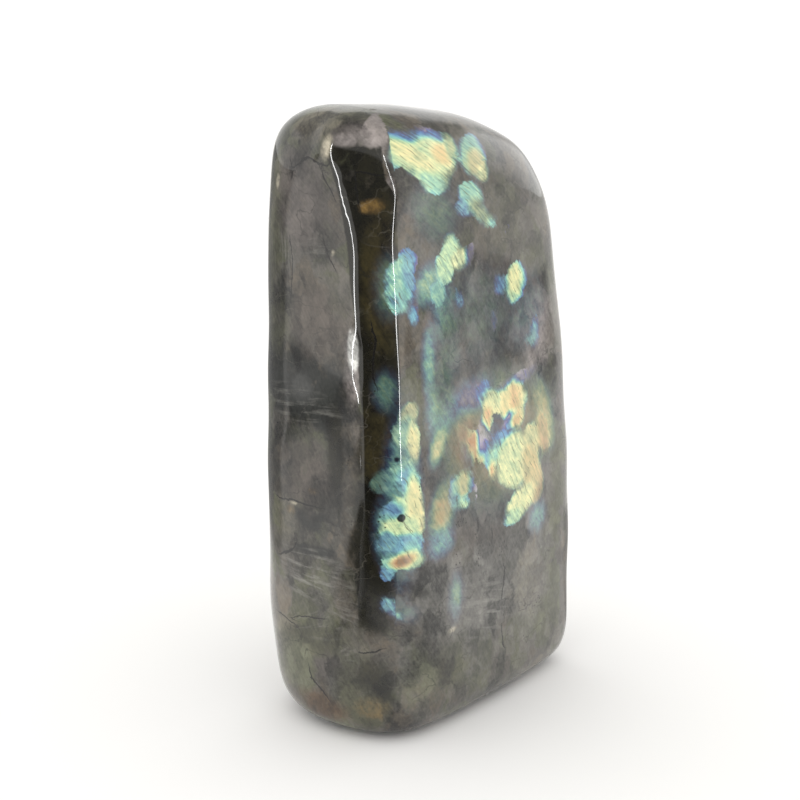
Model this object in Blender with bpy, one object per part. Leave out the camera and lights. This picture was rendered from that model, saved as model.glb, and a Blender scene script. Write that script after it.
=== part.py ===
"""Polished labradorite freeform: one stone, ground and polished all over, standing on its flat base.

The wide face looks along -Y, the narrow left face along -X, and +Z is up. The origin is
the middle of the stone's box, on the surface that it stands on. Sizes are in metres.
"""

from collections import namedtuple

import bmesh
import bpy
import numpy as np

MM = 0.001

# Driving dimensions: the stone is 159 mm tall, and its side faces are ground round an upright axis
MIDDLE_HEIGHT = 82 * MM
TOP_HEIGHT = 159 * MM
HALF_WIDTH = 30 * MM

# A ground face. turn is where its outward normal points in plan and lean how far that normal
# tips up, both in degrees. reach is its distance from the axis at mid height. It bulges by
# crown_across and crown_up at the ends of its span.
Ground = namedtuple("Ground", "turn lean reach crown_across crown_up")


def ground(turn, lean, reach, across, up):
    """A ground face with its reach and crowns given in millimetres."""
    return Ground(turn, lean, reach * MM, across * MM, up * MM)


WIDE_FACE = ground(turn=-90, lean=1.4, reach=25, across=1.2, up=1.6)
RIGHT_SIDE = ground(turn=-3, lean=7.2, reach=39.8, across=0.8, up=5.9)
BACK_FACE = ground(turn=88, lean=1.5, reach=25, across=2.0, up=1.6)
BACK_BEVEL = ground(turn=138, lean=0.8, reach=41.1, across=0.3, up=1.0)
LEFT_FACE = ground(turn=180, lean=-0.5, reach=41.2, across=0.6, up=-0.4)
FRONT_BEVEL = ground(turn=-143, lean=0.2, reach=42.3, across=0, up=0.5)
TOP_FACE = ground(turn=-12, lean=88, reach=76.5, across=0.4, up=0.2)
SHOULDER = ground(turn=-12, lean=57.5, reach=73.8, across=0.6, up=0.6)
BACK_FOOT = ground(turn=135, lean=-19.5, reach=63, across=0.3, up=0.6)

SIDES = (WIDE_FACE, RIGHT_SIDE, BACK_FACE, BACK_BEVEL, LEFT_FACE, FRONT_BEVEL)

# How widely two faces blend at the arris between them
RIDGE_BLEND = 2.2 * MM
RIDGE_BLEND_AT_FOOT = 18 * MM
RIGHT_BLEND = 14 * MM
BACK_BLEND = 11 * MM
BACK_BEVEL_BLEND = 9 * MM
TOP_BLEND = 25 * MM
SHOULDER_BLEND = 32 * MM
BACK_FOOT_BLEND = 14 * MM
FOOT_BLEND = 16 * MM

# The ridges beside the front bevel are crisp down to one height, and soft below the other
CRISP_RIDGE_FROM = 72 * MM
SOFT_RIDGE_FROM = 28 * MM

# The front bevel is ground deeper towards the top
DEEPER_BEVEL = 2.0 * MM
DEEPER_BEVEL_FROM = 126 * MM
DEEPER_BEVEL_FULL = 150 * MM

# Slow waves that hand grinding left in the faces: depth, and the length of a wave along X, Y and Z
WAVES = (
    (0.10 * MM, (37 * MM, 41 * MM, 29 * MM)),
    (0.08 * MM, (-23 * MM, 31 * MM, 47 * MM)),
    (0.05 * MM, (19 * MM, -27 * MM, 21 * MM)),
)

# Rays that find the surface start on this stretch of the axis
AXIS_LOW = 20 * MM
AXIS_HIGH = 132 * MM

# Mesh density: points along each side face, rows up the stone, and rings in over the top and foot
SIDE_POINTS = (16, 10, 14, 6, 10, 8)
SIDE_CROWDING = 0.75
ROWS = 56
ROW_CROWDING = 0.35
TOP_INSETS = (0.05, 0.11, 0.18, 0.26, 0.35)
FOOT_INSETS = (0.06, 0.13, 0.22, 0.32, 0.43, 0.55)

# The grid over the top runs this many quads along the wide face, starting on the front bevel
TOP_GRID_LENGTH = 21
TOP_GRID_START = -5

STONE_GREY = (0.10, 0.095, 0.085, 1)
POLISH_ROUGHNESS = 0.12

BISECTIONS = 40
NEWTON_STEPS = 6
EAVES_STEPS = 14
SLOPE_STEP = 0.01 * MM


def smooth_step(value, start, end):
    """0 at start, 1 at end, with a smooth rise between them, whichever is the larger."""
    share = np.clip((value - start) / (end - start), 0, 1)
    return share * share * (3 - 2 * share)


def blended(first, second, width):
    """The larger of two distances, rounded over where they differ by less than width."""
    overlap = np.maximum(width - np.abs(first - second), 0) / width
    return np.maximum(first, second) + overlap**3 * width / 6


def distance_outside(face, points):
    """How far points lie outside one ground face. It is negative on the stone's side."""
    turn, lean = np.radians(face.turn), np.radians(face.lean)
    x, y, z = points[..., 0], points[..., 1], points[..., 2] - MIDDLE_HEIGHT
    outward = x * np.cos(turn) + y * np.sin(turn)
    across = (y * np.cos(turn) - x * np.sin(turn)) / HALF_WIDTH
    up = (z * np.cos(lean) - outward * np.sin(lean)) / MIDDLE_HEIGHT
    crown = face.crown_across * across**2 + face.crown_up * up**2
    along = outward * np.cos(lean) + z * np.sin(lean)
    reach = face.reach
    if face is FRONT_BEVEL:
        height = points[..., 2]
        reach = reach - DEEPER_BEVEL * smooth_step(height, DEEPER_BEVEL_FROM, DEEPER_BEVEL_FULL)
    return along + crown - reach


def hand_waves(points):
    """The depth of the slow waves at each point."""
    depth = np.zeros(points.shape[:-1])
    for size, lengths in WAVES:
        depth += size * np.sin((points * (2 * np.pi / np.array(lengths))).sum(axis=-1))
    return depth


def stone_distance(points):
    """How far points lie outside the whole stone, with its arrises rounded."""
    height = points[..., 2]
    soft = smooth_step(height, CRISP_RIDGE_FROM, SOFT_RIDGE_FROM)
    ridge = RIDGE_BLEND + (RIDGE_BLEND_AT_FOOT - RIDGE_BLEND) * soft
    stone = blended(
        distance_outside(WIDE_FACE, points), distance_outside(FRONT_BEVEL, points), ridge
    )
    stone = blended(stone, distance_outside(LEFT_FACE, points), ridge)
    stone = blended(stone, distance_outside(RIGHT_SIDE, points), RIGHT_BLEND)
    back = blended(
        distance_outside(BACK_FACE, points), distance_outside(BACK_BEVEL, points), BACK_BEVEL_BLEND
    )
    stone = blended(stone, back, BACK_BLEND)
    top = blended(
        distance_outside(TOP_FACE, points), distance_outside(SHOULDER, points), SHOULDER_BLEND
    )
    stone = blended(stone, top, TOP_BLEND)
    stone = blended(stone, distance_outside(BACK_FOOT, points), BACK_FOOT_BLEND)
    return blended(stone + hand_waves(points), -height, FOOT_BLEND)


def corner(first, second, height):
    """Where two side faces meet in plan at each height, by Newton steps on both distances."""
    point = np.zeros(height.shape + (3,))
    point[..., 2] = height
    for _ in range(NEWTON_STEPS):
        values = []
        slopes = []
        for face in (first, second):
            value = distance_outside(face, point)
            values.append(value)
            for axis in (0, 1):
                moved = point.copy()
                moved[..., axis] += SLOPE_STEP
                slopes.append((distance_outside(face, moved) - value) / SLOPE_STEP)
        first_x, first_y, second_x, second_y = slopes
        scale = first_x * second_y - first_y * second_x
        point[..., 0] -= (second_y * values[0] - first_y * values[1]) / scale
        point[..., 1] -= (first_x * values[1] - second_x * values[0]) / scale
    return point


def crowded(count, crowding):
    """count shares from 0 up to, not including, 1, set closer together towards both ends."""
    even = np.arange(count) / count
    return even - crowding * np.sin(2 * np.pi * even) / (2 * np.pi)


def sharp_outline(heights):
    """The unrounded sides: one point for each column of the mesh, at that column's height."""
    corners = [corner(SIDES[i - 1], SIDES[i], heights) for i in range(len(SIDES))]
    places = []
    for i, count in enumerate(SIDE_POINTS):
        start, end = corners[i], corners[(i + 1) % len(corners)]
        for share in crowded(count, SIDE_CROWDING):
            column = len(places)
            places.append(start[column] + (end[column] - start[column]) * share)
    return np.array(places)


def crossing(is_outside, low, high):
    """The share of the way from low to high at which each ray or upright leaves the stone."""
    for _ in range(BISECTIONS):
        middle = (low + high) / 2
        outside = is_outside(middle)
        high = np.where(outside, middle, high)
        low = np.where(outside, low, middle)
    return (low + high) / 2


def roof_height(plan):
    """Height of the unrounded top over each place in plan."""

    def above(height):
        points = np.column_stack([plan[:, 0], plan[:, 1], height])
        flat = distance_outside(TOP_FACE, points)
        return np.maximum(flat, distance_outside(SHOULDER, points)) > 0

    columns = len(plan)
    return crossing(above, np.full(columns, TOP_HEIGHT / 2), np.full(columns, TOP_HEIGHT * 1.3))


def drawn_in(targets, origins):
    """Each target moved along the line to its origin until it lies on the rounded stone."""
    reach = targets - origins

    def outside(share):
        return stone_distance(origins + reach * share[:, None]) > 0

    share = crossing(outside, np.zeros(len(targets)), np.full(len(targets), 1.3))
    return origins + reach * share[:, None]


def axis_points(targets):
    """The point of the axis level with each target, kept inside the stone."""
    origins = np.zeros_like(targets)
    origins[:, 2] = np.clip(targets[:, 2], AXIS_LOW, AXIS_HIGH)
    return origins


def eaves_heights():
    """For each column, the height at which the unrounded side meets the unrounded top."""
    heights = np.full(sum(SIDE_POINTS), AXIS_HIGH)
    for _ in range(EAVES_STEPS):
        heights = (heights + roof_height(sharp_outline(heights))) / 2
    return heights


def target_rings():
    """Rings of points on the unrounded stone, from inside the foot up to inside the top."""
    eaves = eaves_heights()
    foot = sharp_outline(eaves * 0)
    rim = sharp_outline(eaves)
    rings = [foot * (1 - inset) for inset in reversed(FOOT_INSETS)]
    for share in (*crowded(ROWS, ROW_CROWDING), 1):
        rings.append(sharp_outline(eaves * share))
    for inset in TOP_INSETS:
        plan = rim * (1 - inset)
        rings.append(np.column_stack([plan[:, :2], roof_height(plan)]))
    return rings


def bridge(mesh, lower, upper):
    """Quads between two rings of vertices."""
    for i, vert in enumerate(lower):
        j = (i + 1) % len(lower)
        mesh.faces.new((vert, lower[j], upper[j], upper[i]))


def grid_over(mesh, ring):
    """A grid of quads that closes the top ring, laid on the rounded stone."""
    rails = []
    for first in (TOP_GRID_START, TOP_GRID_START + len(ring) // 2):
        for i in range(first, first + TOP_GRID_LENGTH):
            rails.append(mesh.edges.get((ring[i % len(ring)], ring[(i + 1) % len(ring)])))
    before = set(mesh.verts)
    bmesh.ops.grid_fill(mesh, edges=rails)
    inside = [vert for vert in mesh.verts if vert not in before]
    origins = np.array([(vert.co.x, vert.co.y, AXIS_LOW) for vert in inside])
    targets = origins * [1, 1, 0] + [0, 0, TOP_HEIGHT]
    for vert, place in zip(inside, drawn_in(targets, origins)):
        vert.co = place


def stand_on_origin(mesh):
    """Moves the stone so that its box is centred over the origin."""
    places = np.array([vert.co[:] for vert in mesh.verts])
    middle = (places.min(axis=0) + places.max(axis=0)) / 2
    bmesh.ops.translate(mesh, verts=mesh.verts, vec=(-middle[0], -middle[1], 0))


def stone_mesh():
    """The stone's surface: rings of quads, a flat base and a grid over the top."""
    mesh = bmesh.new()
    rings = []
    for targets in target_rings():
        places = drawn_in(targets, axis_points(targets))
        rings.append([mesh.verts.new(place) for place in places])
    for vert in rings[0]:
        vert.co.z = 0
    for lower, upper in zip(rings, rings[1:]):
        bridge(mesh, lower, upper)
    mesh.faces.new(rings[0][::-1])
    grid_over(mesh, rings[-1])
    stand_on_origin(mesh)
    bmesh.ops.recalc_face_normals(mesh, faces=mesh.faces)
    return mesh


def stone_material():
    """Dark grey feldspar under a high polish."""
    material = bpy.data.materials.new("polished_labradorite")
    material.use_nodes = True
    shader = material.node_tree.nodes["Principled BSDF"]
    shader.inputs["Base Color"].default_value = STONE_GREY
    shader.inputs["Roughness"].default_value = POLISH_ROUGHNESS
    shader.inputs["Metallic"].default_value = 0
    return material


def main():
    for obj in list(bpy.data.objects):
        bpy.data.objects.remove(obj)
    mesh = stone_mesh()
    data = bpy.data.meshes.new("stone")
    mesh.to_mesh(data)
    mesh.free()
    data.shade_smooth()
    data.materials.append(stone_material())
    bpy.context.scene.collection.objects.link(bpy.data.objects.new("stone", data))


main()
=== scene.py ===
"""The looks of a polished labradorite freeform: its shaped surface, its colour and polish, and its stage."""

import math
from collections import namedtuple

import bpy
import numpy as np
from bpy.props import FloatProperty, FloatVectorProperty, IntProperty, PointerProperty
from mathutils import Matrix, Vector


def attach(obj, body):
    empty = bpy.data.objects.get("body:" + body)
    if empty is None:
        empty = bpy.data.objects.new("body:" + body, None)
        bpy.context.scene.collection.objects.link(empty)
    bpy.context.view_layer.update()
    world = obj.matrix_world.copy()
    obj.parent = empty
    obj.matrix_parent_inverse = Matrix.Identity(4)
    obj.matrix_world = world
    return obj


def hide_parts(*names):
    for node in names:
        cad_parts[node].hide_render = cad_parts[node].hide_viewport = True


bl_info = {
    "name": "Polished Labradorite",
    "version": (1, 0, 0),
    "blender": (4, 5, 0),
    "location": "View3D > Sidebar > Labradorite",
    "description": "Dresses a labradorite freeform with its colour flashes, polish and studio stage",
    "category": "Object",
}

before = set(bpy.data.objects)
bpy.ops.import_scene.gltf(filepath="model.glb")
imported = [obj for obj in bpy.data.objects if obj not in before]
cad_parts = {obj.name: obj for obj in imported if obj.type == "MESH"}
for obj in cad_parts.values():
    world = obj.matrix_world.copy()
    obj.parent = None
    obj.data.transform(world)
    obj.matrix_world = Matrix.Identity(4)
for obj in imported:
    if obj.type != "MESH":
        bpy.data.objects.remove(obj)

MM = 0.001

# The fine twin lines in the flashes fall to the right. For each mm down they move right by this much
# at the top of the stone and lower down, and between these heights one slope passes into the other.
HIGH_SHEAR = 1.35
LOW_SHEAR = 0.62
SHEAR_CHANGE = (118, 142)

# The two upright ridges beside the front bevel: heights in mm and the places round the stone there
RIGHT_RIDGE = ((110, 127, 139, 144, 150), (0, -1.5, -0.3, -3.5, -4.5))
LEFT_RIDGE = ((87, 102, 116, 130, 141, 146, 150), (-9, -9.9, -11, -12.6, -14.8, -16.7, -18.6))

# How far to each side a ridge is worn uneven, in mm, and between which heights its wear grows threefold
RIGHT_WEAR = 1.6
RIGHT_WEAR_RISE = (134, 141)
LEFT_WEAR = 1.8
LEFT_WEAR_RISE = (136, 146)

# The front bevel, painted dark as painted shade, in mm: how soft its sides are at two heights, and where its
# ends fade
BEVEL_SOFTNESS = ((62, 92), (3.5, 0.5))
BEVEL_FOOT = (26, 44)
BEVEL_HEAD = (152.2, 150.4)

# Where the top of each ridge leans to the left, as an oval patch, and how far it moves in plan, in mm
Lean = namedtuple("Lean", "along height wide tall tilt move")

LEANS = (
    Lean(-1, 150.5, 14, 11, 0, (-1.6, 2.0)),
    Lean(-17, 153, 9, 10, 0, (-1.2, 1.5)),
)

# The small worn flat on the left ridge: the turn it faces, its lowest and highest points and its depth
WORN_TURN = -169
WORN_FROM = 92
WORN_TO = 109
WORN_DEPTH = 0.15

# How far outside a flash or crack its layer still counts, in mm, and how sharply patches merge.
# A crack is open only this near to its line.
EDGE_REACH = 6
CRACK_REACH = 6
CRACK_SPREAD = 1.5
LOBE_MERGING = 2.6

# Corners of the stone's sides in plan, in mm, from the ridge where the wide face meets the front bevel.
# The sides from the fourth one on are reached by going left from that ridge.
GIRTH_CORNERS = ((-36.6, -22.6), (40, -24.5), (43, 24), (-26, 26), (-42.5, 8), (-42.6, -13))
LEFT_SIDES_FROM = 3

# A patch of colour. along is the way round the stone from the ridge beside the wide face, positive
# over the wide face, and height is above the base. wide and tall are its half sizes before it is
# tilted, in mm and degrees. hue runs from -0.15, lilac, over violet, blue, green and gold to 1, rust.
# A later patch lies over an earlier one.
Flash = namedtuple("Flash", "along height wide tall tilt hue glow")

TOP_FLASHES = (
    Flash(6.5, 152.4, 5.2, 2.0, -14, 0.07, 1.0),
    Flash(16.5, 151.8, 6.6, 2.5, -12, 0.09, 1.0),
    Flash(1, 149.5, 4, 3.6, -20, 0.36, 0.75),
    Flash(5.5, 149.3, 6, 3.0, -25, 0.46, 1.0),
    Flash(16, 147.5, 7, 4.0, -20, 0.54, 1.0),
    Flash(11.5, 145.8, 8.5, 3.9, -30, 0.50, 1.0),
    Flash(13.5, 142.0, 4.4, 2.6, -25, 0.38, 1.0),
    Flash(9, 148.2, 6, 1.5, -30, 0.60, 1.0),
    Flash(19, 148.0, 3.6, 2.0, -10, 0.72, 1.0),
    Flash(22.6, 149.2, 1.8, 3.2, 0, 0.50, 0.6),
    Flash(31.0, 146.8, 4.8, 4.8, 0, 0.05, 0.6),
    Flash(28.4, 148.0, 3.0, 3.0, 0, 0.30, 0.7),
    Flash(31.6, 148.4, 2.6, 2.6, 0, 0.32, 0.65),
    Flash(27.4, 145.0, 2.4, 2.8, 0, 0.42, 0.65),
    Flash(29.0, 146.6, 3.4, 3.8, 0, 0.36, 0.7),
    Flash(31, 144.4, 3.6, 3.2, -30, 0.62, 0.62),
    Flash(33, 141.8, 2.0, 1.8, 0, 0.58, 1.0),
    Flash(27, 137.4, 5.2, 3.6, -20, 0.36, 0.85),
    Flash(24, 134.6, 3.4, 1.8, -25, 0.22, 0.85),
    Flash(31, 132.4, 4.8, 2.2, -38, 0.48, 0.45),
    Flash(35.4, 129.6, 1.8, 1.2, 10, 0.33, 0.9),
    Flash(41.5, 127.2, 1.1, 1.1, 0, 0.0, 0.5),
)

UPPER_FLASHES = (
    Flash(3.5, 124.6, 3.6, 3.2, -35, 0.12, 0.95),
    Flash(0.8, 119.5, 4.4, 6.4, 0, 0.36, 0.85),
    Flash(4.0, 120, 1.8, 5, 10, 0.22, 0.9),
    Flash(0.5, 115.2, 3.2, 2.6, 0, 0.30, 0.85),
    Flash(5.0, 111.6, 1.7, 2.6, 20, 0.19, 0.95),
    Flash(19, 125.6, 3, 3.6, 25, 0.44, 0.95),
    Flash(16.5, 121.2, 3.4, 4.4, 20, 0.44, 0.9),
    Flash(13.5, 115.4, 2.8, 3.6, 20, 0.36, 0.6),
    Flash(22.8, 122.6, 3.4, 2.4, 20, 0.54, 0.95),
    Flash(21.5, 112.8, 1.6, 2.6, 20, 0.20, 0.6),
    Flash(26.5, 124, 1.2, 3, 0, 0.0, 0.5),
    Flash(45.8, 113.6, 4.0, 5.0, 0, 0.07, 0.9),
    Flash(44.2, 113.4, 3.5, 4.9, 0, 0.57, 1.0),
    Flash(43.6, 109.4, 1.9, 1.4, 0, 0.48, 1.0),
    Flash(38.5, 113.6, 2.2, 2.6, 0, 0.20, 0.7),
    Flash(36.6, 113.8, 1.2, 2.6, 0, 0.03, 0.6),
    Flash(35.5, 105.2, 1.4, 2.8, 0, 0.08, 0.5),
    Flash(53.5, 99, 2.2, 4.5, 0, 0.18, 0.6),
    Flash(51.5, 97.5, 2.4, 1.8, 0, 0.28, 0.6),
)

LOWER_FLASHES = (
    Flash(44, 87.5, 9, 2.2, 10, -0.04, 0.55),
    Flash(30, 88, 3.6, 2.6, 15, 0.06, 0.75),
    Flash(43, 82.5, 6.4, 4.6, 0, 0.66, 1.0),
    Flash(33.5, 84, 3.8, 3.6, 20, 0.56, 0.9),
    Flash(32, 80, 2.4, 3.0, 20, 0.80, 0.9),
    Flash(46.5, 80, 2.4, 3.8, 0, 0.60, 1.0),
    Flash(42, 77.6, 4.0, 2.0, 30, -0.10, 0.85),
    Flash(45, 77, 2.4, 1.6, 0, 0.80, 0.9),
    Flash(44.2, 82.5, 1.2, 4.0, 15, 0.80, 0.9),
    Flash(22.5, 78, 2.2, 4.5, 30, 0.74, 0.12),
    Flash(24, 71.5, 1.8, 4.0, 30, 0.05, 0.22),
    Flash(27.8, 73.8, 2.4, 5.0, 28, 0.84, 0.62),
    Flash(30.5, 74.5, 1.8, 5.0, 15, -0.14, 0.95),
    Flash(32.2, 69.0, 1.0, 3.2, 20, 0.10, 1.0),
    Flash(34, 67.5, 1.3, 3.4, 15, 0.84, 0.95),
    Flash(40, 73.6, 7, 2.0, -6, 0.10, 1.0),
    Flash(37.4, 70.2, 4.0, 3.0, 0, 0.34, 1.0),
    Flash(57.6, 71, 2.8, 6.6, 20, 0.82, 0.50),
    Flash(53, 58, 5, 6, 20, 0.76, 0.45),
    Flash(44.5, 66.5, 8.4, 7.5, 0, 0.54, 1.0),
    Flash(52, 70, 3.4, 5.5, 20, 0.60, 0.75),
    Flash(52, 63, 4, 6, 25, 0.68, 0.7),
    Flash(46.5, 54.6, 6.4, 4.0, 15, 0.56, 1.0),
    Flash(43.0, 51.0, 4, 2.2, 0, 0.44, 0.95),
    Flash(22.2, 65.4, 4.4, 3.4, -20, 0.60, 0.5),
    Flash(18, 63.6, 1.6, 4.2, 0, 0.24, 0.55),
    Flash(22.5, 60.6, 2.4, 1.6, 0, 0.42, 0.9),
    Flash(27, 63, 0.9, 3, 10, -0.10, 0.7),
)

RIDGE_FLASHES = (
    Flash(3, 88, 3, 3, 0, 0.60, 0.55),
    Flash(1.5, 83, 3.5, 4, 0, 0.40, 0.6),
    Flash(4.4, 80, 2, 5, 0, 0.62, 0.95),
    Flash(1.0, 73.4, 4.0, 3.0, 0, 0.38, 0.6),
    Flash(-4, 71, 3.0, 3, 0, 0.34, 0.22),
    Flash(3.0, 69.8, 3.2, 4.4, 25, 0.22, 1.0),
    Flash(1.5, 63, 4.6, 5.0, 0, 0.44, 1.0),
    Flash(-2.2, 62.6, 2.4, 3.2, 0, 0.13, 0.85),
    Flash(-3.2, 58.8, 1.8, 3.4, 0, 0.36, 0.5),
    Flash(4.8, 63, 2.4, 8.0, 8, 0.62, 1.0),
    Flash(0.5, 58.6, 4.6, 3.4, 0, 0.50, 1.0),
    Flash(1, 54.4, 6.2, 2.6, 0, 0.17, 0.9),
    Flash(4.6, 53.6, 2.4, 1.6, -10, 0.28, 0.9),
    Flash(-3.0, 55.6, 2.4, 2.4, 0, 0.20, 0.7),
    Flash(3.6, 50.2, 4.2, 2.6, 0, 0.46, 0.95),
    Flash(-1.5, 49.8, 3.2, 2.4, 0, 0.36, 0.8),
    Flash(1.6, 50.4, 2.6, 1.2, 10, 0.80, 0.85),
    Flash(0.8, 50.2, 1.6, 0.9, 10, 0.93, 0.5),
    Flash(-3.2, 46.8, 1.7, 1.8, 0, 0.20, 0.85),
    Flash(-2.4, 38.2, 2.8, 2.0, -35, 0.24, 0.7),
    Flash(1.2, 35.6, 1.8, 0.9, -30, 0.40, 0.75),
)

# The hidden sides are given flashes of the same kinds
BACK_FLASHES = (
    Flash(150, 108, 13, 9, -20, 0.55, 0.8),
    Flash(146, 115, 9, 4, -15, 0.16, 0.7),
    Flash(158, 101, 8, 5, -20, 0.80, 0.85),
    Flash(170, 128, 7, 4, -15, 0.40, 0.6),
    Flash(176, 122, 5, 5, 0, 0.62, 0.7),
    Flash(140, 60, 10, 6, -25, 0.70, 0.75),
    Flash(133, 66, 7, 4, -10, 0.30, 0.7),
    Flash(148, 54, 6, 4, -20, 0.48, 0.7),
    Flash(172, 74, 4, 7, -20, 0.22, 0.6),
    Flash(180, 44, 6, 4, 0, 0.34, 0.4),
    Flash(98, 92, 5, 9, 10, 0.45, 0.5),
    Flash(103, 84, 4, 5, 0, 0.72, 0.5),
    Flash(92, 118, 4, 5, 0, 0.18, 0.45),
    Flash(108, 46, 6, 5, -20, 0.30, 0.35),
)
FLASHES = TOP_FLASHES + UPPER_FLASHES + LOWER_FLASHES + RIDGE_FLASHES + BACK_FLASHES

# Broad faint colour, which lies under the flashes
HAZES = (
    Flash(13, 135, 9, 7, -20, 0.34, 0.12),
    Flash(11, 118, 6, 5, 20, 0.38, 0.45),
    Flash(-2, 119, 4, 8, 0, 0.36, 0.14),
    Flash(16, 110, 5, 8, 0, 0.24, 0.30),
    Flash(10, 99, 2.6, 9, 0, 0.33, 0.45),
    Flash(50, 105, 9, 10, 0, 0.20, 0.12),
    Flash(38, 74, 24, 18, 0, 0.70, 0.12),
    Flash(36, 76, 8, 6, 0, 0.03, 0.12),
    Flash(25, 87, 10, 5, 10, -0.02, 0.28),
    Flash(13.5, 86, 5, 7, 0, 0.32, 0.50),
    Flash(12.5, 77.5, 2.6, 5, -20, 0.60, 0.50),
    Flash(24, 76, 7, 8, 20, 0.80, 0.14),
    Flash(14, 60.5, 5, 7, -20, 0.68, 0.34),
    Flash(16, 96, 5, 14, -10, 0.30, 0.10),
    Flash(30, 108, 14, 12, 0, 0.26, 0.07),
    Flash(13.5, 52.5, 5, 4, 0, 0.28, 0.45),
    Flash(55, 48.5, 4, 4.5, 0, 0.30, 0.36),
    Flash(19.5, 36.5, 2.6, 6.5, 0, 0.36, 0.26),
    Flash(58, 76, 3.4, 10, 20, 0.62, 0.35),
    Flash(1.5, 66, 5, 22, 0, 0.36, 0.34),
    Flash(-3, 94, 3.4, 5, 0, 0.33, 0.16),
    Flash(1, 37, 6, 3, -25, 0.26, 0.16),
    Flash(-3, 58, 3.5, 9, 0, 0.33, 0.20),
    Flash(150, 106, 22, 16, -20, 0.50, 0.22),
    Flash(140, 60, 16, 12, -20, 0.60, 0.22),
    Flash(100, 90, 10, 16, 0, 0.40, 0.20),
)

# Soft clouds of another tone in the stone, and among them painted highlights, glints, reflections and shade.
# tone names a colour below, and strength is at its middle.
Veil = namedtuple("Veil", "tone along height wide tall tilt strength")

LEFT_VEILS = (
    # Painted highlight and painted reflections on the worn flat of the left ridge: a bright blob, a pale
    # tail under it, and lower down a grey strip where it mirrors the floor
    Veil("glint", -11.2, 103.0, 1.4, 4.8, 0, 0.9),
    Veil("pearl", -11.3, 98.5, 2.4, 9.0, 0, 0.75),
    Veil("pearl", -10.6, 83.5, 1.8, 5.5, 0, 0.35),
    # Painted glints: small pale flecks of light on the left face
    Veil("cream", -35.5, 141.5, 0.9, 1.8, 0, 0.7),
    Veil("cream", -17.0, 126.5, 0.8, 0.8, 0, 0.6),
    Veil("cream", -32.0, 61.0, 1.4, 0.7, 0, 0.7),
    Veil("slate", -25, 84, 22, 42, 0, 0.50),
    Veil("plum", -14, 154, 5, 3.6, 0, 0.9),
    Veil("rust", -27, 154, 8, 3.0, 0, 0.3),
    Veil("sand", -27, 156.6, 9, 3.0, 0, 0.8),
    # Painted highlight: the pale speckled patch where the left ridge's highlight begins at the top
    Veil("cream", -18.6, 151, 1.5, 2.6, 0, 0.75),
    Veil("sand", -24, 153.5, 4.5, 2.2, 0, 0.9),
    Veil("pearl", -25.5, 155.0, 6.0, 3.4, 0, 0.5),
    Veil("plum", -27, 138, 11, 12, 0, 0.8),
    Veil("olive", -38, 130, 4, 25, 0, 0.6),
    Veil("slate", -22, 127, 10, 4.5, 0, 0.5),
    Veil("rose", -22, 109, 10, 9, 0, 0.7),
    Veil("olive", -36, 107, 6, 9, 0, 0.5),
    Veil("slate", -28, 93, 16, 10, 0, 1.0),
    Veil("slate", -20, 88, 7, 7, 0, 1.0),
    Veil("rose", -26.5, 69, 9, 9, 0, 0.75),
    Veil("amber", -24.5, 65.5, 1.8, 1.2, 0, 0.34),
    Veil("shadow", -17, 76, 2.6, 13, 0, 0.85),
    Veil("slate", -24, 58, 10, 3.6, 0, 0.7),
    Veil("amber", -32.7, 59, 2.4, 1.6, 0, 0.22),
    Veil("sand", -34.5, 56, 4.5, 6, 0, 0.5),
    Veil("slate", -24, 50, 8, 1.8, 4, 0.8),
    Veil("smoke", -26, 39, 14, 11, 0, 0.3),
    Veil("slate", -25, 26.5, 8, 2.8, 0, 0.7),
    Veil("sand", -35, 25, 5, 6, 0, 0.6),
    Veil("moss", -32, 17, 5.5, 7, 0, 0.95),
    Veil("sand", -34, 27, 4, 4, 0, 0.7),
    Veil("rust", -25, 8, 9, 4, 0, 0.7),
    Veil("shadow", -20, 12, 2.6, 5, 20, 0.12),
    Veil("slate", -27, 64, 14, 15, 0, 0.42),
    Veil("olive", -10, 14, 8, 9, 0, 1.0),
    Veil("moss", 8, 17, 6, 7, 0, 0.6),
    Veil("bronze", -8, 20, 3, 4, 0, 0.4),
    Veil("olive", -26, 25, 12, 4, 10, 0.7),
    Veil("smoke", -18, 14, 3.6, 4.4, 0, 0.55),
    Veil("plum", -20, 20, 7, 5, 0, 0.6),
)

BEVEL_VEILS = (
    # Painted reflection: the pale cap over the front bevel, where the rounded top mirrors the bright ceiling
    Veil("pearl", -6.5, 155, 3.6, 4.6, 0, 1.0),
    Veil("pearl", -13.5, 153.5, 3.6, 2.4, 0, 0.6),
    # Painted shade: a dark column low on the front bevel, for the dark room that it mirrors
    Veil("shadow", -8.6, 53, 4.8, 18, 0, 0.85),
    Veil("shadow", -6.5, 40, 6, 9, 0, 0.85),
    Veil("bronze", -6, 80, 4, 8, 0, 0.8),
    Veil("bronze", -4, 122, 4.5, 17, 0, 0.85),
    Veil("olive", -3, 104, 2.6, 10, 0, 0.7),
    Veil("slate", -3.2, 154.6, 0.8, 0.9, 0, 0.95),
    Veil("moss", -5.5, 70, 5, 3.6, 0, 0.7),
    Veil("amber", -6.4, 138.0, 3.0, 1.8, 0, 0.46),
    # Painted reflection: a pale patch in a small facet beside the right ridge
    Veil("pearl", -2.0, 142, 1.6, 2.8, 0, 0.7),
    Veil("olive", -2.4, 132, 1.6, 7, 0, 0.6),
    Veil("shadow", -6, 18, 5, 6, 0, 0.6),
    Veil("shadow", -10.5, 19, 3, 4, 0, 0.5),
    Veil("sand", -9, 24.5, 2.2, 3, 0, 0.4),
    Veil("smoke", -3, 17, 3, 3, 30, 0.5),
    Veil("amber", -6, 10, 8, 3.4, 0, 0.26),
    Veil("sand", -12, 40, 2, 3, 0, 0.5),
)

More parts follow.
